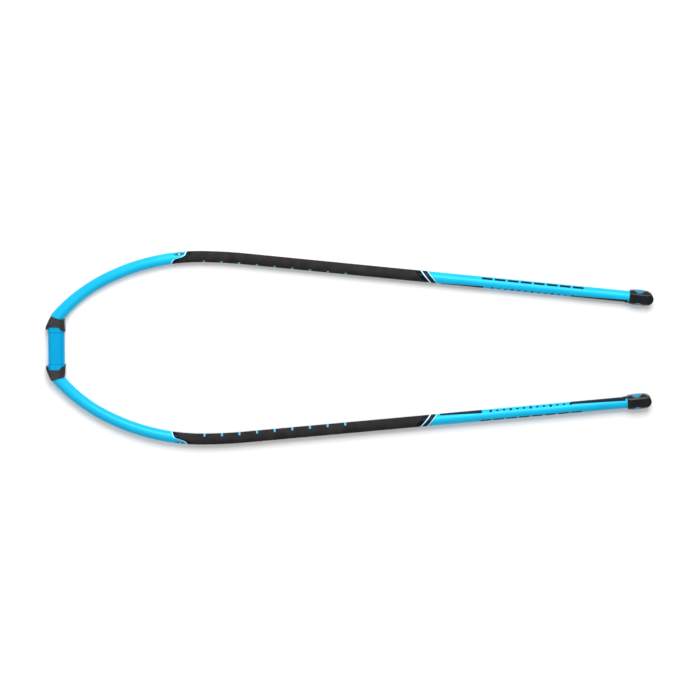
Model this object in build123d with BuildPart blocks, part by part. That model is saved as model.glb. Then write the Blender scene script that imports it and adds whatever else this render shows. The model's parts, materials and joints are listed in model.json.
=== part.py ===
from build123d import *
from math import cos, radians, sin
import os

# Windsurf boom body: head bar, two corner blocks, two bent arms with grips, and two tail locks.
# Millimetres. +X runs from the head to the tail, +Y is the right-hand arm, +Z is up.
# Every piece is drawn with the arms' centre plane at Z = 0 and raised when it is saved.

# Overall
LENGTH = 1590.0
FRONT_X = -LENGTH / 2
HALF_HEIGHT = 18.0
GAP = 0.3

# Centre line of the right arm, from the corner block to the tail
LINE_START = (FRONT_X + 22.6, 69.9)
START_HEADING = 61.5
LEAD_LENGTH = 18.0
BENDS = ((90.0, 12.0), (400.0, 20.0), (540.0, 30.0), (1300.0, 5.0))
TAIL_HEADING = START_HEADING - sum(angle for _, angle in BENDS)

# Arm tubes
TUBE_R = 15.0
FRONT_R = 16.9
FRONT_BORE_R = 13.2
NECK_R = 13.45
NECK_BORE_R = 11.7
REAR_BORE_R = 13.3
SOCKET_R = 13.55
SOCKET_DEPTH = 42.0
BUNG_LENGTH = 30.0

# Grips
GRIP_R = 14.7
GRIP_BORE_R = 13.55
GRIP_FRONT = ((376.0, 275.0), (370.5, 257.0), (362.5, 246.5), (352.0, 242.5), (341.0, 239.0))
GRIP_FRONT_TAIL = ((333.5, 230.0), (330.5, 221.0), (328.0, 205.0))
GRIP_REAR_OUTER = (969.0, 224.0)
GRIP_REAR_INNER = (1016.0, 165.0)

# Head bar and corner blocks
BAR_FRONT_X = 7.0
BAR_REAR_X = 49.0
BAR_HALF_LENGTH = 57.0
BAR_HALF_HEIGHT = 15.4
COLLAR_LENGTH = 13.0
COLLAR_RISE = 0.8
GROOVE_WIDTH = 3.0
GROOVE_DEPTH = 1.0
CAVITY_HALF_X = 15.0
CAVITY_HALF_Z = 12.0
SPIGOT_DEPTH = 30.0
CORNER_FACE = ((14.6, 86.2), (49.5, 74.6))
CORNER_OUTLINE = (
    (0.0, 48.7), (0.9, 57.5), (6.8, 71.0), *CORNER_FACE, (51.8, 45.6), (41.6, 48.6), (35.0, 57.0),
    (6.0, 57.0), (6.0, 51.0),
)
RIVET_R = 2.4
BAR_RIVET_Y = 34.0
TUBE_RIVET = (FRONT_X + 35.5, 88.2)

# Tail lock, drawn along its own axis with the mouth's tip at X = 0
HOUSING_LENGTH = 63.0
HOUSING_R = 20.0
HOUSING_BORE_R = 13.8
TUBE_END = -32.0
END_OVAL = 26.0
CHEEK = 19.6
FLOOR_R = 16.2
PAD_INNER_R = 16.6
PAD_OUTER_R = 20.9
HINGE_X = -54.5
HINGE_Y = 17.2
HINGE_PIN_R = 0.9
HINGE_HALF_LENGTH = 7.0
KNUCKLE_R = 1.5
COIL_R = 1.35
WIRE_R = 0.22
LEVER_TIP_X = -20.4
LEVER_OUTLINE = (
    (-54.0, 4.2), (-51.5, 7.8), (-48.5, 11.4), (-44.0, 14.4), (-38.5, 15.6), (-32.5, 14.6), (-28.0, 12.1),
    (-24.4, 8.4), (-22.0, 4.8),
)
HINGE_ROOM = 2.0
LEVER_GAP = 0.45
OPEN_ANGLE = 25.0
TONGUE_LENGTH = 11.0
TONGUE_HALF_WIDTH = 9.0
LOCK_X = -25.0
LOCK_R = 2.5
LOCK_TIP_R = 11.2
HOUSING_RIVETS = (-57.0, -40.0)

os.makedirs("parts", exist_ok=True)


def heading(angle):
    """Unit vector in the XY plane at an angle from +X."""
    return Vector(cos(radians(angle)), sin(radians(angle)))


def front(x, y):
    """Point measured from the front of the head."""
    return (FRONT_X + x, y)


def save(solid, name):
    """Raise one piece to its height and write it."""
    with BuildPart() as piece:
        add(Pos(0, 0, HALF_HEIGHT) * solid)
    piece.part.label = name
    export_step(piece.part, f"parts/{name}.step")
    print(name, round(piece.part.volume, 1), len(piece.part.solids()))


def save_pair(solid, name):
    """Write the right-hand piece and its mirror image on the left arm."""
    with BuildPart() as twin:
        mirror(solid, about=Plane.XZ)
    save(solid, f"{name}_right")
    save(twin.part, f"{name}_left")


def rod(path, radius):
    """Solid round bar along a path."""
    with BuildPart() as bar:
        with BuildSketch(Plane(origin=path @ 0, z_dir=path % 0)):
            Circle(radius)
        sweep(path=path)
    return bar.part


def prism(points, low, high):
    """Upright prism on a straight-sided outline."""
    with BuildPart() as block:
        with BuildSketch(Plane.XY.offset(low)):
            with BuildLine():
                Polyline(*points, close=True)
            make_face()
        extrude(amount=high - low)
    return block.part


# ---------------------------------------------------------------- centre lines
lead_start = Vector(*LINE_START) - heading(START_HEADING) * LEAD_LENGTH
with BuildLine() as front_line:
    lead = Line(lead_start, Vector(*LINE_START))
    tight = JernArc(lead @ 1, lead % 1, BENDS[0][0], -BENDS[0][1])
    entry = JernArc(tight @ 1, tight % 1, BENDS[1][0], -BENDS[1][1])

with BuildLine() as spigot_line:
    Line(lead_start, Vector(*LINE_START))
    JernArc(lead @ 1, lead % 1, BENDS[0][0], -BENDS[0][1])
    JernArc(tight @ 1, tight % 1, BENDS[1][0], -1.5)

with BuildLine() as shoulder_line:
    belly = JernArc(entry @ 1, entry % 1, BENDS[2][0], -BENDS[2][1])

with BuildLine() as grip_line:
    JernArc(entry @ 1, entry % 1, BENDS[2][0], -BENDS[2][1])
    flat = JernArc(belly @ 1, belly % 1, BENDS[3][0], -BENDS[3][1])
    Line(flat @ 1, flat @ 1 + heading(TAIL_HEADING) * 510)

# Straight rear run: where the grip ends and where the tail ends
straight_start = flat @ 1
run = (front(LENGTH, 0)[0] - straight_start.X) / cos(radians(TAIL_HEADING))
tail_end = straight_start + heading(TAIL_HEADING) * run
socket_run = (front(992, 0)[0] - straight_start.X) / cos(radians(TAIL_HEADING))
socket_start = straight_start + heading(TAIL_HEADING) * socket_run
rear_plane = Plane(origin=socket_start, x_dir=(0, 0, 1), z_dir=heading(TAIL_HEADING))
tube_run = run - socket_run + TUBE_END
tail_place = Pos(tail_end.X, tail_end.Y, 0) * Rot(0, 0, TAIL_HEADING)

with BuildLine() as neck_line:
    JernArc(entry @ 1, entry % 1, BENDS[2][0], -BENDS[2][1])
    JernArc(belly @ 1, belly % 1, BENDS[3][0], -BENDS[3][1])
    Line(flat @ 1, socket_start + heading(TAIL_HEADING) * (SOCKET_DEPTH - 3))


# ---------------------------------------------------------------- grip zone
def grip_zone(shift_front, shift_rear):
    """Upright block over the gripped stretch, with the curved front and slanted rear ends."""
    points = [front(x + shift_front, y) for x, y in GRIP_FRONT + GRIP_FRONT_TAIL]
    rear_outer = front(GRIP_REAR_OUTER[0] + shift_rear, GRIP_REAR_OUTER[1])
    rear_inner = front(GRIP_REAR_INNER[0] + shift_rear, GRIP_REAR_INNER[1])
    with BuildPart() as zone:
        with BuildSketch(Plane.XY.offset(-30)):
            with BuildLine():
                Spline(*points)
                Polyline(points[-1], front(420, 150), rear_inner, rear_outer, front(700, 300), points[0])
            make_face()
        extrude(amount=60)
    return zone.part


# ---------------------------------------------------------------- front tube
with BuildPart() as tapered:
    with BuildSketch(Plane(origin=lead @ 0, z_dir=lead % 0)):
        Circle(FRONT_R)
    with BuildSketch(Plane(origin=tight @ 0, z_dir=tight % 0)):
        Circle(FRONT_R - 0.1)
    with BuildSketch(Plane(origin=entry @ 0, z_dir=entry % 0)):
        Circle(FRONT_R - 0.3)
    with BuildSketch(Plane(origin=entry @ 0.5, z_dir=entry % 0.5)):
        Circle(FRONT_R - 1.5)
    with BuildSketch(Plane(origin=entry @ 1, z_dir=entry % 1)):
        Circle(TUBE_R)
    sweep(path=front_line.line, multisection=True)

corner_block_half = prism(
    [front(*CORNER_FACE[0]), front(*CORNER_FACE[1]), front(80, 20), front(-60, 20), front(-40, 104.3)],
    -30,
    30,
)

with BuildPart() as front_tube:
    add(tapered.part)
    add(rod(shoulder_line.line, TUBE_R))
    add(grip_zone(0, 0), mode=Mode.SUBTRACT)
    add(rod(neck_line.line, NECK_R))
    add(rod(front_line.line, FRONT_BORE_R), mode=Mode.SUBTRACT)
    add(rod(neck_line.line, NECK_BORE_R), mode=Mode.SUBTRACT)
    add(corner_block_half, mode=Mode.SUBTRACT)
    with Locations((*TUBE_RIVET, -HALF_HEIGHT)):
        Cylinder(RIVET_R + 0.05, 14, mode=Mode.SUBTRACT)
save_pair(front_tube.part, "front_tube")

# Foam bung that closes the end of the bent tube, so that the arm floats
with BuildPart() as bung:
    with BuildSketch(rear_plane.offset(SOCKET_DEPTH - 3.2)):
        Circle(NECK_BORE_R - 0.05)
    extrude(amount=-BUNG_LENGTH)
save_pair(bung.part, "float_bung")

# ---------------------------------------------------------------- rear tube and grip
with BuildPart() as rear_tube:
    with BuildSketch(rear_plane.offset(-40)):
        Circle(TUBE_R)
    extrude(amount=tube_run + 40)
    with BuildSketch(rear_plane.offset(-40)):
        Circle(SOCKET_R)
    extrude(amount=40 + SOCKET_DEPTH, mode=Mode.SUBTRACT)
    with BuildSketch(rear_plane):
        Circle(REAR_BORE_R)
    extrude(amount=tube_run, mode=Mode.SUBTRACT)
    add(grip_zone(0, 0), mode=Mode.SUBTRACT)
    for rivet_x in HOUSING_RIVETS:
        with Locations(tail_place * Pos(rivet_x, 0, -HALF_HEIGHT)):
            Cylinder(RIVET_R + 0.05, 12, mode=Mode.SUBTRACT)
save_pair(rear_tube.part, "rear_tube")

with BuildPart() as grip:
    add(rod(grip_line.line, GRIP_R))
    add(rod(grip_line.line, GRIP_BORE_R), mode=Mode.SUBTRACT)
    add(grip_zone(GAP, -GAP), mode=Mode.INTERSECT)
save_pair(grip.part, "grip")

# ---------------------------------------------------------------- head bar
bar_centre_x = front((BAR_FRONT_X + BAR_REAR_X) / 2, 0)[0]


def bar_section(grow, half_height):
    """Eight-sided outline of the head bar in the XZ plane."""
    low_x = front(BAR_FRONT_X, 0)[0] - grow
    high_x = front(BAR_REAR_X, 0)[0] + grow
    half = half_height + grow
    upper = [(low_x, half - 6), (low_x + 6.5, half), (high_x - 9.5, half)]
    upper += [(high_x - 3, half - 3.5), (high_x, half - 9)]
    lower = [(x, -z) for x, z in reversed(upper)]
    return upper + lower


def bar_block(grow, half_height, low_y, high_y):
    """Bar-shaped block between two Y positions."""
    with BuildPart() as block:
        with BuildSketch(Plane.XZ.offset(-low_y)):
            with BuildLine():
                Polyline(*bar_section(grow, half_height), close=True)
            make_face()
        extrude(amount=-(high_y - low_y))
    return block.part


waist = BAR_HALF_LENGTH - COLLAR_LENGTH - GROOVE_WIDTH
with BuildPart() as head_bar:
    add(bar_block(-GROOVE_DEPTH, BAR_HALF_HEIGHT, -BAR_HALF_LENGTH, BAR_HALF_LENGTH))
    add(bar_block(0, BAR_HALF_HEIGHT, -waist, waist))
    for collar_y in (-BAR_HALF_LENGTH, BAR_HALF_LENGTH - COLLAR_LENGTH):
        add(bar_block(COLLAR_RISE, BAR_HALF_HEIGHT, collar_y, collar_y + COLLAR_LENGTH))
    with Locations((bar_centre_x, 0, 0)):
        Box(2 * CAVITY_HALF_X, 4 * BAR_HALF_LENGTH, 2 * CAVITY_HALF_Z, mode=Mode.SUBTRACT)
    for side in (1, -1):
        with Locations((bar_centre_x, side * BAR_RIVET_Y, -BAR_HALF_HEIGHT)):
            Cylinder(RIVET_R + 0.05, 14, mode=Mode.SUBTRACT)
save(head_bar.part, "head_bar")

# ---------------------------------------------------------------- corner blocks
with BuildPart() as arm_spigot:
    add(rod(spigot_line.line, FRONT_BORE_R - 0.1))
    add(Pos(-1.5, -4.5, 0) * corner_block_half, mode=Mode.SUBTRACT)

with BuildPart() as corner:
    add(prism([front(x, y) for x, y in CORNER_OUTLINE], -HALF_HEIGHT, HALF_HEIGHT))
    # The outer top and bottom edges slope off, most on the inner side of the boom
    with BuildSketch(Plane.XZ.offset(-40)):
        with BuildLine():
            Polyline(
                (FRONT_X - 1, 8), (FRONT_X + 13, HALF_HEIGHT), (FRONT_X + 37, HALF_HEIGHT),
                (FRONT_X + 50, 14.5), (FRONT_X + 53, 10), (FRONT_X + 53, -10),
                (FRONT_X + 50, -14.5), (FRONT_X + 37, -HALF_HEIGHT),
                (FRONT_X + 13, -HALF_HEIGHT), (FRONT_X - 1, -8), close=True,
            )
        make_face()
    extrude(amount=-60, mode=Mode.INTERSECT)
    add(bar_block(COLLAR_RISE + 0.1, BAR_HALF_HEIGHT, 30, BAR_HALF_LENGTH + 0.1), mode=Mode.SUBTRACT)
    with Locations((bar_centre_x, BAR_HALF_LENGTH - SPIGOT_DEPTH / 2 + 2, 0)):
        Box(2 * CAVITY_HALF_X - 0.2, SPIGOT_DEPTH + 4, 2 * CAVITY_HALF_Z - 0.2)
    add(arm_spigot.part)
    with Locations((bar_centre_x, BAR_RIVET_Y, -BAR_HALF_HEIGHT), (*TUBE_RIVET, -BAR_HALF_HEIGHT)):
        Cylinder(RIVET_R + 0.05, 20, mode=Mode.SUBTRACT)
save_pair(corner.part, "corner_block")

# ---------------------------------------------------------------- head rivets
bar_rivet_spots = [(bar_centre_x, side * BAR_RIVET_Y) for side in (1, -1)]
tube_rivet_spots = [(TUBE_RIVET[0], side * TUBE_RIVET[1]) for side in (1, -1)]
with BuildPart() as head_rivets:
    with BuildSketch(Plane.XY.offset(-BAR_HALF_HEIGHT - 0.9)):
        with Locations(*bar_rivet_spots):
            Circle(RIVET_R + 1.6)
    extrude(amount=0.9)
    with BuildSketch(Plane.XY.offset(-HALF_HEIGHT)):
        with Locations(*tube_rivet_spots):
            Circle(RIVET_R + 1.4)
    extrude(amount=0.55)
    with BuildSketch(Plane.XY.offset(-HALF_HEIGHT + 0.3)):
        with Locations(*bar_rivet_spots, *tube_rivet_spots):
            Circle(RIVET_R)
    extrude(amount=9)
save(head_rivets.part, "head_rivets")


# ---------------------------------------------------------------- tail lock, along its own axis
def almond(grow):
    """Outline of a lever seen from the side, moved outwards along its normals."""
    points = [Vector(x, z) for x, z in LEVER_OUTLINE]
    ahead = points[1:] + points[-1:]
    behind = points[:1] + points[:-1]
    normals = [(b - a).normalized().rotate(Axis.Z, 90) for a, b in zip(behind, ahead)]
    upper = [(p.X + grow * n.X, p.Y + grow * n.Y) for p, n in zip(points, normals)]
    lower = [(x, -z) for x, z in reversed(upper)]
    return upper, lower


def almond_block(grow, start_x, low_y, high_y):
    """Almond outline extruded outwards from the axis."""
    upper, lower = almond(grow)
    tip = (LEVER_TIP_X + grow, 0)
    with BuildPart() as block:
        with BuildSketch(Plane.XZ.offset(-low_y)):
            with BuildLine():
                Spline(*upper, tip, tangents=[(1, 0.6), (0, -1)])
                Spline(tip, *lower, tangents=[(0, -1), (-1, 0.6)])
                Polyline(lower[-1], (start_x, lower[-1][1]), (start_x, upper[0][1]), upper[0])
            make_face()
        extrude(amount=-(high_y - low_y))
    return block.part


def axial(radius, start, end):
    """Round bar on the tail lock's axis."""
    with BuildPart() as bar:
        with BuildSketch(Plane.YZ.offset(start)):
            Circle(radius)
        extrude(amount=end - start)
    return bar.part


def both_sides(solid):
    """A piece on the outer side and its mirror image on the inner side, as one part."""
    with BuildPart() as twins:
        add(solid)
        mirror(solid, about=Plane.XZ)
    return twins.part


# Hollow that one lever lies in and swings out of, with the slot for its lock pin
hinge_place = Pos(HINGE_X, HINGE_Y, 0)
swung_out = hinge_place * Rot(0, 0, OPEN_ANGLE) * hinge_place.inverse()
with BuildPart() as hollow:
    add(almond_block(LEVER_GAP, HINGE_X - HINGE_ROOM, 10, 24))
    add(swung_out * almond_block(LEVER_GAP / 2, HINGE_X, 12, 24))
    add(axial(FLOOR_R, -60, 0), mode=Mode.SUBTRACT)
    with Locations((HINGE_X + 1, 20.55, 0)):
        Box(2 * HINGE_ROOM + 2, 10.0, 8.0)
    with BuildSketch(Plane.XZ.offset(-10)):
        with Locations((LOCK_X + 0.25, 0)):
            SlotOverall(6.8, 2 * LOCK_R + 0.5)
    extrude(amount=-10)
    with Locations((HINGE_X, HINGE_Y, 0)):
        Cylinder(HINGE_PIN_R + 0.02, 2 * HINGE_HALF_LENGTH + 0.1)

# Rounded tongue that runs forward along the tube's inner side
with BuildPart() as tongue:
    add(axial(16.6, -HOUSING_LENGTH - TONGUE_LENGTH, -HOUSING_LENGTH + 1))
    with BuildSketch(Plane.XZ):
        with Locations((-HOUSING_LENGTH + 1, 0)):
            Ellipse(TONGUE_LENGTH, TONGUE_HALF_WIDTH)
    extrude(amount=30, mode=Mode.INTERSECT)

with BuildPart() as housing:
    add(axial(HOUSING_R, -HOUSING_LENGTH, 0))
    with BuildSketch(Plane.XY.offset(-30)):
        with BuildLine() as plan:
            Polyline((-HOUSING_LENGTH, 0), (-HOUSING_LENGTH, 16.6), (-60.5, 17.3), (-56, 18.5), (-48, CHEEK))
            Line((-48, CHEEK), (-END_OVAL, CHEEK))
            EllipticalCenterArc((-END_OVAL, 0), END_OVAL, CHEEK, start_angle=0, arc_size=90)
            mirror(about=Plane.XZ)
        make_face()
    extrude(amount=60, mode=Mode.INTERSECT)
    with BuildSketch(Plane.XZ.offset(-30)):
        with BuildLine():
            Polyline((-HOUSING_LENGTH, 16.8), (-54, HALF_HEIGHT), (-16, HALF_HEIGHT), (0, 16.2))
            Polyline((0, 16.2), (0, -16.2), (-16, -HALF_HEIGHT), (-54, -HALF_HEIGHT))
            Polyline((-54, -HALF_HEIGHT), (-HOUSING_LENGTH, -16.8), (-HOUSING_LENGTH, 16.8))
        make_face()
    extrude(amount=60, mode=Mode.INTERSECT)
    add(tongue.part)
    add(axial(TUBE_R + 0.05, -80, TUBE_END + 0.1), mode=Mode.SUBTRACT)
    add(axial(HOUSING_BORE_R, -80, 5), mode=Mode.SUBTRACT)
    add(both_sides(hollow.part), mode=Mode.SUBTRACT)
    for rivet_x in HOUSING_RIVETS:
        with Locations((rivet_x, 0, -HALF_HEIGHT)):
            Cylinder(RIVET_R + 0.05, 12, mode=Mode.SUBTRACT)
save_pair(tail_place * housing.part, "tail_housing")

with BuildPart() as lever:
    with BuildSketch(Plane.XY.offset(-20)):
        with BuildLine():
            Polyline((LEVER_TIP_X, 18.6), (LEVER_TIP_X, 12), (HINGE_X, 12), (HINGE_X, 18.9))
            ThreePointArc((HINGE_X, 18.9), (-38, PAD_OUTER_R), (LEVER_TIP_X, 18.6))
        make_face()
    extrude(amount=40)
    add(almond_block(0, HINGE_X, 10, 24), mode=Mode.INTERSECT)
    add(axial(PAD_OUTER_R, -60, 0), mode=Mode.INTERSECT)
    add(axial(PAD_INNER_R, -60, 0), mode=Mode.SUBTRACT)
    with Locations((HINGE_X, HINGE_Y, 0)):
        Cylinder(KNUCKLE_R, 7.2)
        Cylinder(HINGE_PIN_R + 0.05, 30, mode=Mode.SUBTRACT)
    with Locations((HINGE_X - 0.4, 18, 0)):
        Box(4.8, 8, 4, mode=Mode.SUBTRACT)
    with BuildSketch(Plane.XZ.offset(-10)):
        with Locations((LOCK_X, 0)):
            Circle(LOCK_R + 0.02)
    extrude(amount=-8, mode=Mode.SUBTRACT)

with BuildPart() as lock_pin:
    with BuildSketch(Plane.XZ.offset(-LOCK_TIP_R)):
        with Locations((LOCK_X, 0)):
            Circle(LOCK_R)
    extrude(amount=-(17.98 - LOCK_TIP_R))
    chamfer(lock_pin.edges().filter_by(GeomType.CIRCLE).sort_by(Axis.Y)[0], 0.7)

with BuildPart() as hinge_pins:
    with Locations((HINGE_X, HINGE_Y, 0)):
        Cylinder(HINGE_PIN_R, 2 * HINGE_HALF_LENGTH)

with BuildPart() as spring:
    with BuildLine() as coil:
        Helix(0.62, 3.1, COIL_R)
    with BuildSketch(Plane(origin=coil.line @ 0, z_dir=coil.line % 0)):
        Circle(WIRE_R)
    sweep(path=coil.line, is_frenet=True)
spring_at_hinge = Pos(HINGE_X, HINGE_Y, -1.55) * spring.part

for side, flip in (("outer", False), ("inner", True)):
    for solid, stem in (
        (lever.part, "lock_lever"), (lock_pin.part, "lock_pin"), (spring_at_hinge, "lever_spring")
    ):
        placed = mirror(solid, about=Plane.XZ) if flip else solid
        save_pair(tail_place * placed, f"{stem}_{side}")

right_hinges = tail_place * both_sides(hinge_pins.part)
with BuildPart() as all_hinges:
    add(right_hinges)
    mirror(right_hinges, about=Plane.XZ)
save(all_hinges.part, "hinge_pins")

with BuildPart() as tail_rivets:
    for rivet_x in HOUSING_RIVETS:
        with Locations(tail_place * Pos(rivet_x, 0, -(REAR_BORE_R + HALF_HEIGHT - 0.6) / 2)):
            Cylinder(RIVET_R, HALF_HEIGHT - REAR_BORE_R - 0.9)
    mirror(about=Plane.XZ)
save(tail_rivets.part, "tail_rivets")
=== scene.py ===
import json
import math

import bpy
import numpy as np
from mathutils import Matrix, Vector


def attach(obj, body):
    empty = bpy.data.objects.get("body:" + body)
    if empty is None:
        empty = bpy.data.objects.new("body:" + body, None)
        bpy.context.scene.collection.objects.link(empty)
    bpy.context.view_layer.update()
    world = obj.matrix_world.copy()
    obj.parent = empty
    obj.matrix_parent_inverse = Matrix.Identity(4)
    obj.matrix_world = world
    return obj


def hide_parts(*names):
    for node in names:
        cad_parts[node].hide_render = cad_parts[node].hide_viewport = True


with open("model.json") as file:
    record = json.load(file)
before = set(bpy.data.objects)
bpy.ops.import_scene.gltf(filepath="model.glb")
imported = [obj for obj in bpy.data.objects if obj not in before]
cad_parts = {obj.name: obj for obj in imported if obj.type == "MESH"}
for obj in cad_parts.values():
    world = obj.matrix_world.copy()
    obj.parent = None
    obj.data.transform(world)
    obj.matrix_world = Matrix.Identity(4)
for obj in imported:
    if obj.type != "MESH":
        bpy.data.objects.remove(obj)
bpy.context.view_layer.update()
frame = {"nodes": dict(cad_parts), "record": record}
NODES = frame["nodes"]

# ---------------------------------------------------------------- centre line of the arms
# Lengths are in metres, with the front of the head at FRONT_X.
MM = 0.001
FRONT_X = -0.795
AXIS_Z = 0.018
LINE_START = (FRONT_X + 0.0226, 0.0699)
START_HEADING = math.radians(61.5)
# Radius and angle in degrees of each bend, one after the other
BENDS = ((0.090, 12.0), (0.400, 20.0), (0.540, 30.0), (1.300, 5.0))
# A little more than the length of one arm, and the radius of its tube and of its grip
ARM_LENGTH = 1.75
TUBE_R = 0.015
GRIP_R = 0.0147


def centre(s):
    """Centre of the right arm and its heading, at distances s along it."""
    s = np.asarray(s, float)
    x = np.full(s.shape, LINE_START[0])
    y = np.full(s.shape, LINE_START[1])
    h = np.full(s.shape, START_HEADING)
    before = np.minimum(s, 0.0)
    x += before * math.cos(START_HEADING)
    y += before * math.sin(START_HEADING)
    left = np.maximum(s, 0.0)
    for radius, degrees in BENDS:
        step = np.minimum(left, radius * math.radians(degrees))
        h2 = h - step / radius
        x += radius * (np.sin(h) - np.sin(h2))
        y += radius * (np.cos(h2) - np.cos(h))
        h = h2
        left = left - step
    return x + left * np.cos(h), y + left * np.sin(h), h


def on_arm(s, angle, radius, side):
    """Points round the arm: angle 0 is the outer side and 90 degrees is up.

    side is 1 for the right arm and -1 for the left.
    """
    x, y, h = centre(s)
    out = radius * np.cos(angle)
    px = x - np.sin(h) * out
    py = y + np.cos(h) * out
    pz = AXIS_Z + radius * np.sin(angle) + 0 * px
    return np.stack([px, side * py, pz], axis=-1)


def s_at_x(x_mm):
    """Distance along the arm where the centre line is x_mm behind the front of the head."""
    grid = np.linspace(0.0, ARM_LENGTH, 7001)
    return float(np.interp(FRONT_X + x_mm * MM, centre(grid)[0], grid))


# Front edge of the grip in plan, as x for each y, and its slanted rear edge
EDGE_Y = np.array([205.0, 221.0, 230.0, 239.0, 242.5, 246.5, 257.0, 275.0]) * MM
EDGE_X = FRONT_X + np.array([328.0, 330.5, 333.5, 341.0, 352.0, 362.5, 370.5, 376.0]) * MM
REAR_OUTER = (FRONT_X + 0.969, 0.224)
REAR_INNER = (FRONT_X + 1.016, 0.165)


def smooth_edge(y):
    """Cubic through the front edge points, with slopes from their neighbours."""
    slope = np.gradient(EDGE_X, EDGE_Y)
    k = np.clip(np.searchsorted(EDGE_Y, y) - 1, 0, len(EDGE_Y) - 2)
    span = EDGE_Y[k + 1] - EDGE_Y[k]
    t = (y - EDGE_Y[k]) / span
    return (
        (2 * t**3 - 3 * t**2 + 1) * EDGE_X[k]
        + (t**3 - 2 * t**2 + t) * span * slope[k]
        + (3 * t**2 - 2 * t**3) * EDGE_X[k + 1]
        + (t**3 - t**2) * span * slope[k + 1]
    )


def rear_edge(y):
    """Slanted rear edge of the grip, as x for each y."""
    share = (y - REAR_INNER[1]) / (REAR_OUTER[1] - REAR_INNER[1])
    return REAR_INNER[0] + share * (REAR_OUTER[0] - REAR_INNER[0])


def edge_distance(angles, radius, edge, low, high):
    """Distance along the arm where each line round it meets an edge drawn in plan."""
    grid = np.linspace(low, high, 1201)
    found = []
    for angle in angles:
        p = on_arm(grid, np.full(grid.shape, angle), radius, 1)
        gap = p[:, 0] - edge(p[:, 1])
        found.append(np.interp(0.0, gap, grid))
    return np.array(found)


# The stretches of the arm in which the two edges of the grip are looked for
FRONT_SPAN = (s_at_x(300), s_at_x(400))
REAR_SPAN = (s_at_x(950), s_at_x(1035))


def front_edge_s(angles, radius=TUBE_R):
    """Distance along the arm of the grip's front edge, at each angle."""
    return edge_distance(angles, radius, smooth_edge, *FRONT_SPAN)


def rear_edge_s(angles, radius=TUBE_R):
    """Distance along the arm of the grip's rear edge, at each angle."""
    return edge_distance(angles, radius, rear_edge, *REAR_SPAN)


# ---------------------------------------------------------------- mesh helpers
def mesh_object(name, points, faces, material):
    """Smooth piece that rides on the frame of the boom."""
    mesh = bpy.data.meshes.new(name)
    mesh.from_pydata([tuple(map(float, p)) for p in points], [], faces)
    mesh.update()
    obj = bpy.data.objects.new(name, mesh)
    bpy.context.scene.collection.objects.link(obj)
    mesh.polygons.foreach_set("use_smooth", [True] * len(mesh.polygons))
    obj.data.materials.append(material)
    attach(obj, "boom")
    return obj


def grid_faces(rows, columns, closed, start=0, flip=False):
    """Quads of a rows x columns grid, closed round the columns if asked."""
    faces = []
    last = columns if closed else columns - 1
    for i in range(rows - 1):
        for j in range(last):
            a = start + i * columns + j
            b = start + i * columns + (j + 1) % columns
            c = start + (i + 1) * columns + (j + 1) % columns
            d = start + (i + 1) * columns + j
            faces.append((a, d, c, b) if flip else (a, b, c, d))
    return faces


def closed_plate(outer, inner, rows, columns, flip, closed=False):
    """Closes the gap between two equal grids of points. Returns points and faces."""
    count = len(outer)
    faces = grid_faces(rows, columns, closed, 0, flip)
    faces += grid_faces(rows, columns, closed, count, not flip)
    rim = []
    last = columns if closed else columns - 1
    base = (rows - 1) * columns
    for j in range(last):
        k = (j + 1) % columns
        rim.append((j, j + count, k + count, k))
        rim.append((base + k, base + k + count, base + j + count, base + j))
    if not closed:
        for i in range(rows - 1):
            a, b = i * columns, (i + 1) * columns
            rim.append((b, b + count, a + count, a))
            a, b = a + columns - 1, b + columns - 1
            rim.append((a, a + count, b + count, b))
    faces += [tuple(reversed(f)) for f in rim] if flip else rim
    return np.vstack([outer, inner]), faces


def patch(s_from, s_to, angles, r_in, r_out, side, steps):
    """Closed thin plate wrapped on the arm between two edges. Returns points and faces."""
    share = np.linspace(0, 1, steps)[:, None]
    s = s_from[None, :] * (1 - share) + s_to[None, :] * share
    ang = np.broadcast_to(angles, s.shape)
    outer = on_arm(s, ang, r_out, side).reshape(-1, 3)
    inner = on_arm(s, ang, r_in, side).reshape(-1, 3)
    closed = abs(angles[-1] - angles[0] - 2 * math.pi) < 1e-6
    columns = len(angles)
    if closed:
        keep = np.arange(steps * columns).reshape(steps, columns)[:, :-1].ravel()
        outer, inner = outer[keep], inner[keep]
        columns -= 1
    return closed_plate(outer, inner, steps, columns, side < 0, closed)


def join(parts):
    """Puts several point and face lists into one."""
    points, faces, base = [], [], 0
    for p, f in parts:
        points.append(p)
        faces += [tuple(i + base for i in face) for face in f]
        base += len(p)
    return np.vstack(points), faces


def decal(name, parts, material):
    """Thin printed piece made of several plates."""
    points, faces = join(parts)
    mesh_object(name, points, faces, material)


# ---------------------------------------------------------------- materials
COAT_ROUGHNESS = 0.12
PAINT_GRAIN = 900.0
MOULD_GRAIN = 2200.0
METAL_LINES = 600.0
# Height of the fine grain, in metres
PAINT_BUMP = 0.00005
MOULD_BUMP = 0.0001


def new_material(name, colour, roughness, metallic=0.0, coat=0.0, specular=0.5):
    """Plain Principled material. Returns the material, its node tree and its shader."""
    mat = bpy.data.materials.new(name)
    mat.use_nodes = True
    shader = mat.node_tree.nodes["Principled BSDF"]
    shader.inputs["Base Color"].default_value = (*colour, 1.0)
    shader.inputs["Roughness"].default_value = roughness
    shader.inputs["Metallic"].default_value = metallic
    shader.inputs["Coat Weight"].default_value = coat
    shader.inputs["Coat Roughness"].default_value = COAT_ROUGHNESS
    shader.inputs["Specular IOR Level"].default_value = specular
    return mat, mat.node_tree, shader


def coordinates(tree):
    """The piece's own coordinates, in metres."""
    return tree.nodes.new("ShaderNodeTexCoord").outputs["Object"]


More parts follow.
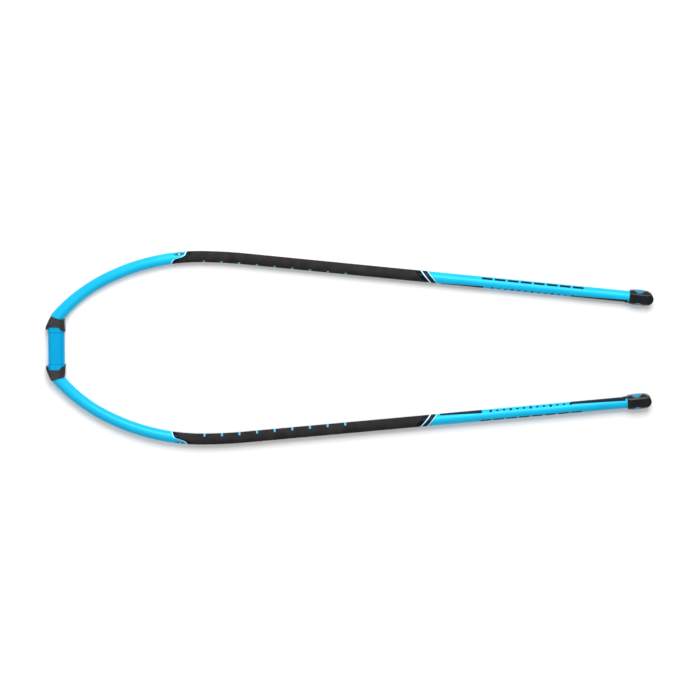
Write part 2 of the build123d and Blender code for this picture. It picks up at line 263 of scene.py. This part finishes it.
def noise(tree, vector, scale, detail, rough=0.5):
    """Cloudy pattern from 0 to 1."""
    node = tree.nodes.new("ShaderNodeTexNoise")
    node.inputs["Scale"].default_value = scale
    node.inputs["Detail"].default_value = detail
    node.inputs["Roughness"].default_value = rough
    tree.links.new(vector, node.inputs["Vector"])
    return node.outputs["Fac"]


def ramp(tree, value, stops):
    """Colour that follows a pattern, from (position, colour) stops."""
    node = tree.nodes.new("ShaderNodeValToRGB")
    while len(node.color_ramp.elements) < len(stops):
        node.color_ramp.elements.new(0.5)
    for element, (at, colour) in zip(node.color_ramp.elements, stops):
        element.position = at
        element.color = (*colour, 1.0)
    tree.links.new(value, node.inputs["Fac"])
    return node.outputs["Color"]


def spread(tree, value, low, high):
    """Maps a 0 to 1 pattern to a narrow range, for roughness."""
    node = tree.nodes.new("ShaderNodeMapRange")
    node.inputs["From Min"].default_value = 0.3
    node.inputs["From Max"].default_value = 0.7
    node.inputs["To Min"].default_value = low
    node.inputs["To Max"].default_value = high
    tree.links.new(value, node.inputs["Value"])
    return node.outputs["Result"]


def bump(tree, height, strength, distance, shader):
    """Fine relief from a pattern."""
    node = tree.nodes.new("ShaderNodeBump")
    node.inputs["Strength"].default_value = strength
    node.inputs["Distance"].default_value = distance
    tree.links.new(height, node.inputs["Height"])
    tree.links.new(node.outputs["Normal"], shader.inputs["Normal"])


def painted(name, dark, light, roughness, specular, metallic=0.0, coat=0.0):
    """Paint or anodising: faint cloudy tone, fine grain in the gloss."""
    mat, tree, shader = new_material(name, light, roughness, metallic, coat, specular)
    where = coordinates(tree)
    cloud = noise(tree, where, scale=9.0, detail=3.0)
    tone = ramp(tree, cloud, [(0.3, dark), (0.7, light)])
    tree.links.new(tone, shader.inputs["Base Color"])
    fine = noise(tree, where, PAINT_GRAIN, detail=3.0)
    gloss = spread(tree, fine, roughness * 0.85, roughness * 1.15)
    tree.links.new(gloss, shader.inputs["Roughness"])
    bump(tree, fine, 0.08, PAINT_BUMP, shader)
    return mat


def moulded(name, dark, light, roughness, specular):
    """Matt moulded plastic with a fine spark-eroded grain."""
    mat, tree, shader = new_material(name, light, roughness, specular=specular)
    where = coordinates(tree)
    cloud = noise(tree, where, scale=60.0, detail=5.0)
    tone = ramp(tree, cloud, [(0.35, dark), (0.65, light)])
    tree.links.new(tone, shader.inputs["Base Color"])
    fine = noise(tree, where, MOULD_GRAIN, detail=2.0)
    gloss = spread(tree, fine, roughness - 0.08, roughness + 0.08)
    tree.links.new(gloss, shader.inputs["Roughness"])
    bump(tree, fine, 0.35, MOULD_BUMP, shader)
    return mat


def brushed(name, colour, roughness):
    """Bright metal with fine drawn lines."""
    mat, tree, shader = new_material(name, colour, roughness, metallic=1.0)
    where = coordinates(tree)
    mapping = tree.nodes.new("ShaderNodeMapping")
    mapping.inputs["Scale"].default_value = (1.0, 1.0, 12.0)
    tree.links.new(where, mapping.inputs["Vector"])
    lines = noise(tree, mapping.outputs["Vector"], METAL_LINES, detail=2.0)
    gloss = spread(tree, lines, roughness * 0.8, roughness * 1.3)
    tree.links.new(gloss, shader.inputs["Roughness"])
    bump(tree, lines, 0.1, PAINT_BUMP, shader)
    return mat


def foam(name, dark, light, cell_scale, depth):
    """Closed-cell foam: matt, pebbled with small shallow cells."""
    mat, tree, shader = new_material(name, light, 0.85, specular=0.15)
    where = coordinates(tree)
    cloud = noise(tree, where, scale=40.0, detail=6.0, rough=0.6)
    tone = ramp(tree, cloud, [(0.3, dark), (0.7, light)])
    tree.links.new(tone, shader.inputs["Base Color"])
    cells = tree.nodes.new("ShaderNodeTexVoronoi")
    cells.inputs["Scale"].default_value = cell_scale
    tree.links.new(where, cells.inputs["Vector"])
    bump(tree, cells.outputs["Distance"], 0.5, depth, shader)
    return mat


# Darker and lighter tone, roughness and specular level of each paint and anodised skin
BLUE = painted("tube_blue", (0.001, 0.36, 0.60), (0.003, 0.415, 0.665), 0.42, 0.18, metallic=0.12)
BAR_BLUE = painted("bar_blue", (0.001, 0.27, 0.53), (0.001, 0.32, 0.60), 0.4, 0.08, metallic=0.3)
LEVER = painted("lever_blue", (0.006, 0.13, 0.22), (0.012, 0.17, 0.28), 0.36, 0.35, coat=0.2)
NAVY = painted("print_navy", (0.001, 0.008, 0.018), (0.002, 0.013, 0.028), 0.5, 0.12)
BADGE = painted("badge_teal", (0.008, 0.07, 0.10), (0.014, 0.10, 0.14), 0.45, 0.2)
BAND = painted("grip_band", (0.0005, 0.002, 0.005), (0.001, 0.004, 0.009), 0.35, 0.08)
PALE = painted("print_pale", (0.46, 0.72, 0.80), (0.56, 0.80, 0.88), 0.5, 0.2)
MARK = painted("grip_mark", (0.05, 0.36, 0.56), (0.08, 0.44, 0.64), 0.6, 0.2)
CORNER = moulded("corner_black", (0.013, 0.011, 0.014), (0.021, 0.018, 0.021), 0.34, 0.35)
HOUSING = moulded("housing_black", (0.003, 0.003, 0.004), (0.008, 0.007, 0.009), 0.32, 0.2)
STEEL = brushed("pin_steel", (0.62, 0.62, 0.64), 0.28)
WIRE = brushed("spring_steel", (0.5, 0.5, 0.52), 0.3)
RIVET = brushed("rivet_alu", (0.7, 0.7, 0.72), 0.35)
# Two tones of each foam, its cells per metre and their depth in metres
FOAM = foam("grip_foam", (0.010, 0.009, 0.010), (0.021, 0.019, 0.020), 900.0, 0.0003)
BUNG_FOAM = foam("bung_foam", (0.62, 0.62, 0.58), (0.75, 0.75, 0.72), 700.0, 0.0004)

SLOT_MATERIAL = {
    "tube_blue": BLUE,
    "bar_blue": BAR_BLUE,
    "corner_black": CORNER,
    "housing_black": HOUSING,
    "lever_blue": LEVER,
    "pin_steel": STEEL,
    "spring_steel": WIRE,
    "rivet_alu": RIVET,
    "grip_foam": FOAM,
    "bung_foam": BUNG_FOAM,
}
for part in frame["record"]["subparts"]:
    node = NODES[part["node"]]
    node.data.materials.clear()
    node.data.materials.append(SLOT_MATERIAL[part["material_slot"]])

# Small rounds, in metres, on the sharp edges of the head bar and the corner blocks
ROUNDS = {
    "head_bar": 0.0007,
    "corner_block_right": 0.0006,
    "corner_block_left": 0.0006,
}
for name, width in ROUNDS.items():
    bevel = NODES[name].modifiers.new("rounded_edges", "BEVEL")
    bevel.width = width
    bevel.segments = 3
    bevel.limit_method = "ANGLE"
    bevel.angle_limit = math.radians(25)
    bevel.harden_normals = True
    bevel.use_clamp_overlap = True

# ---------------------------------------------------------------- grips
FULL = np.linspace(0, 2 * math.pi, 73)
GRIP_INNER_R = 0.01352
GRIP_ROWS = 420
# The foam reaches this far past the drawn edges, and rounds down over the last stretch of it
EDGE_OVERLAP = 0.0006
EDGE_DROP = 0.0005
EDGE_ROUND = 0.0018
# The seam along the underside: its depth, and its width as an angle
SEAM_DEPTH = 0.0004
SEAM_WIDTH = 0.035
RIPPLE_HEIGHT = 0.00005


def build_grip(side, name):
    """Foam sleeve of one arm, with rounded edges, a seam below and a slightly uneven skin."""
    start = front_edge_s(FULL, GRIP_R) - EDGE_OVERLAP
    end = rear_edge_s(FULL, GRIP_R) + EDGE_OVERLAP
    share = np.linspace(0, 1, GRIP_ROWS)[:, None]
    s = start[None, :] * (1 - share) + end[None, :] * share
    ang = np.broadcast_to(FULL, s.shape)
    radius = np.full(s.shape, GRIP_R)
    edge = np.minimum(s - start, end - s)
    radius -= EDGE_DROP * np.clip(1 - edge / EDGE_ROUND, 0, 1) ** 2
    seam = np.abs(np.angle(np.exp(1j * (ang + math.pi / 2))))
    radius -= SEAM_DEPTH * np.exp(-((seam / SEAM_WIDTH) ** 2))
    ripple = np.sin(s * 210) * np.sin(ang * 3 + s * 60) + 0.6 * np.sin(s * 487 + ang * 5)
    radius += RIPPLE_HEIGHT * ripple
    outer = on_arm(s, ang, radius, side)[:, :-1].reshape(-1, 3)
    inner = on_arm(s, ang, np.full(s.shape, GRIP_INNER_R), side)[:, :-1].reshape(-1, 3)
    points, faces = closed_plate(outer, inner, GRIP_ROWS, len(FULL) - 1, side < 0, True)
    obj = mesh_object(f"foam_{name}", points, faces, FOAM)
    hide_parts(f"grip_{name}")


# ---------------------------------------------------------------- print on the arms and grips
# Printed plates reach this far into what they lie on, and stand this far over it, in metres
PRINT_DEPTH = 0.0003
PRINT_RISE = 0.00006
BADGE_RISE = 0.00008
MARK_LIFT = 0.00008
BAND_DEPTH = 0.0004
BAND_RISE = 0.00022
# Angle of the inner side of the arm, in degrees
INNER_SIDE = 180
WEDGE_COLUMNS = 17
BADGE_STEPS = 21

# Rings round the grip and the tube: which edge of the grip, start and end behind it in metres, rows
BANDS = (("front", 0.0002, 0.0130, 5), ("rear", -0.0150, -0.0002, 5))
EDGE_LINES = (
    ("front", -0.0028, -0.0004, 5),
    ("rear", 0.0005, 0.0040, 4),
    ("rear", 0.0180, 0.0200, 4),
)
NAVY_RINGS = (("rear", 0.0041, 0.0179, 6),)
# Stripes on the inner side: start and end behind the front of the head in mm, half angles there
NAVY_WEDGES = ((1036, 1146, 36, 55), (1379, 1523, 44, 62))
# Rows of equal marks: first start, length and pitch in mm, and their number
GRIP_MARKS = (413, 5, 46.4, 9)
SCALE_TICKS = (1166, 6, 17.5, 13)
DASHES = (1140, 28, 34, 8)
# Every third tick of the scale is a longer one, as half angles in degrees
LONG_TICK, SHORT_TICK = 17, 11
# Where the badge and its dot lie: mm behind the front of the head, and angle in degrees
BADGE_X, BADGE_ANGLE = 352, 44


def arc_angles(centre_angle, half, count=17):
    """Angles in degrees round a centre, as radians."""
    return np.radians(np.linspace(centre_angle - half, centre_angle + half, count))


def series(start, length, pitch, count):
    """Start and end of each of a row of equal marks."""
    return [(start + pitch * i, start + length + pitch * i) for i in range(count)]


def ring(edges, row, r_in, r_out, side):
    """Closed ring along one edge of the grip."""
    which, start, end, rows = row
    return patch(edges[which] + start, edges[which] + end, FULL, r_in, r_out, side, rows)


def strip(ends, angles, r, side, rows):
    """Stripe between two distances from the front of the head, in mm."""
    a, b = (np.full(len(angles), s_at_x(x)) for x in ends)
    return patch(a, b, angles, r - PRINT_DEPTH, r + PRINT_RISE, side, rows)


def wedge(x_from, x_to, half_from, half_to, side, rows=40):
    """Stripe on the inner side that widens from one half angle to another along the arm."""
    share = np.linspace(0, 1, rows)[:, None]
    s = s_at_x(x_from) * (1 - share) + s_at_x(x_to) * share
    s = np.broadcast_to(s, (rows, WEDGE_COLUMNS))
    half = np.radians(half_from * (1 - share) + half_to * share)
    ang = math.radians(INNER_SIDE) + half * np.linspace(-1, 1, WEDGE_COLUMNS)[None, :]
    outer = on_arm(s, ang, TUBE_R + PRINT_RISE, side).reshape(-1, 3)
    inner = on_arm(s, ang, TUBE_R - PRINT_DEPTH, side).reshape(-1, 3)
    return closed_plate(outer, inner, rows, WEDGE_COLUMNS, side < 0)


def oval(half_long, half_wide, r, side):
    """Plain oval plate at the badge's place: half length in metres, half width in degrees."""
    angles = arc_angles(BADGE_ANGLE, half_wide, BADGE_STEPS)
    share = np.linspace(-1, 1, BADGE_STEPS)
    reach = half_long * np.sqrt(np.clip(1 - share**2, 0.0004, 1))
    mid = s_at_x(BADGE_X)
    return patch(mid - reach, mid + reach, angles, r - PRINT_DEPTH, r + BADGE_RISE, side, 12)


for side, name in ((1, "right"), (-1, "left")):
    build_grip(side, name)
    # Light blue position marks let into the inner side of the grip
    mark_arc = arc_angles(INNER_SIDE, 52)
    marks = [strip(ends, mark_arc, GRIP_R + MARK_LIFT, side, 4) for ends in series(*GRIP_MARKS)]
    decal(f"grip_marks_{name}", marks, MARK)
    # Dark bands at the two ends of the foam
    edges = {"front": front_edge_s(FULL), "rear": rear_edge_s(FULL)}
    bands = [ring(edges, row, GRIP_R - BAND_DEPTH, GRIP_R + BAND_RISE, side) for row in BANDS]
    decal(f"grip_bands_{name}", bands, BAND)
    # Pale edge lines in front of and behind the grip
    on_tube = (TUBE_R - PRINT_DEPTH, TUBE_R + PRINT_RISE, side)
    lines = [ring(edges, row, *on_tube) for row in EDGE_LINES]
    decal(f"edge_lines_{name}", lines, PALE)
    # A navy ring between the pale lines behind the grip, and navy wedges on the inner side
    stripes = [ring(edges, row, *on_tube) for row in NAVY_RINGS]
    stripes += [wedge(*row, side) for row in NAVY_WEDGES]
    decal(f"navy_stripes_{name}", stripes, NAVY)
    # A plain scale of ticks on the inner side and a plain broken line on the outer side
    ticks = [
        strip(ends, arc_angles(144, SHORT_TICK if i % 3 else LONG_TICK, 9), TUBE_R, side, 4)
        for i, ends in enumerate(series(*SCALE_TICKS))
    ]
    dashes = [strip(ends, arc_angles(37, 14, 9), TUBE_R, side, 10) for ends in series(*DASHES)]
    decal(f"scale_ticks_{name}", ticks + dashes, NAVY)
    # A plain oval badge with a pale dot, in front of the grip
    decal(f"badge_{name}", [oval(0.013, 17, TUBE_R, side)], BADGE)
    decal(f"badge_dot_{name}", [oval(0.0025, 6, TUBE_R + PRINT_RISE, side)], PALE)

# ---------------------------------------------------------------- floor, light, camera
FLOOR = 9.0
WORLD_STRENGTH = 0.52
floor_mesh = bpy.data.meshes.new("floor")
floor_corners = [(-FLOOR, -FLOOR, 0), (FLOOR, -FLOOR, 0), (FLOOR, FLOOR, 0), (-FLOOR, FLOOR, 0)]
floor_mesh.from_pydata(floor_corners, [], [(0, 1, 2, 3)])
floor = bpy.data.objects.new("floor", floor_mesh)
bpy.context.scene.collection.objects.link(floor)
floor_mat, _, _ = new_material("floor", (0.9, 0.9, 0.9), 0.9, specular=0.1)
floor.data.materials.append(floor_mat)

bpy.context.scene.view_settings.view_transform = "Standard"
world = bpy.data.worlds.new("studio")
world.use_nodes = True
background = world.node_tree.nodes["Background"]
background.inputs["Color"].default_value = (1.0, 1.0, 1.0, 1.0)
background.inputs["Strength"].default_value = WORLD_STRENGTH
bpy.context.scene.world = world


def area_light(name, place, power, size=3.0):
    """Square soft light over the floor, aimed at the middle of the boom."""
    data = bpy.data.lights.new(name, "AREA")
    data.shape = "SQUARE"
    data.size = size
    data.energy = power
    lamp = bpy.data.objects.new(name, data)
    lamp.location = place
    lamp.rotation_euler = (-Vector(place)).to_track_quat("-Z", "Y").to_euler()
    bpy.context.scene.collection.objects.link(lamp)


area_light("key", (0.2, 3.0, 3.1), 258)
area_light("fill", (-1.6, -0.8, 3.4), 25)

# Camera: almost straight down, leaning towards the right arm, turned a little in its own plane
LEAN = math.radians(11.0)
ROLL = math.radians(0.18)
DISTANCE = 10.2
AIM = Vector((0.0025, -0.00355, AXIS_Z))
camera_data = bpy.data.cameras.new("camera")
camera_data.lens = 200
camera_data.sensor_width = 36
camera_data.clip_end = 100
camera = bpy.data.objects.new("camera", camera_data)
turn = Matrix.Rotation(-LEAN, 4, "X") @ Matrix.Rotation(ROLL, 4, "Z")
camera.matrix_world = Matrix.Translation(AIM) @ turn @ Matrix.Translation((0, 0, DISTANCE))
bpy.context.scene.collection.objects.link(camera)
bpy.context.scene.camera = camera
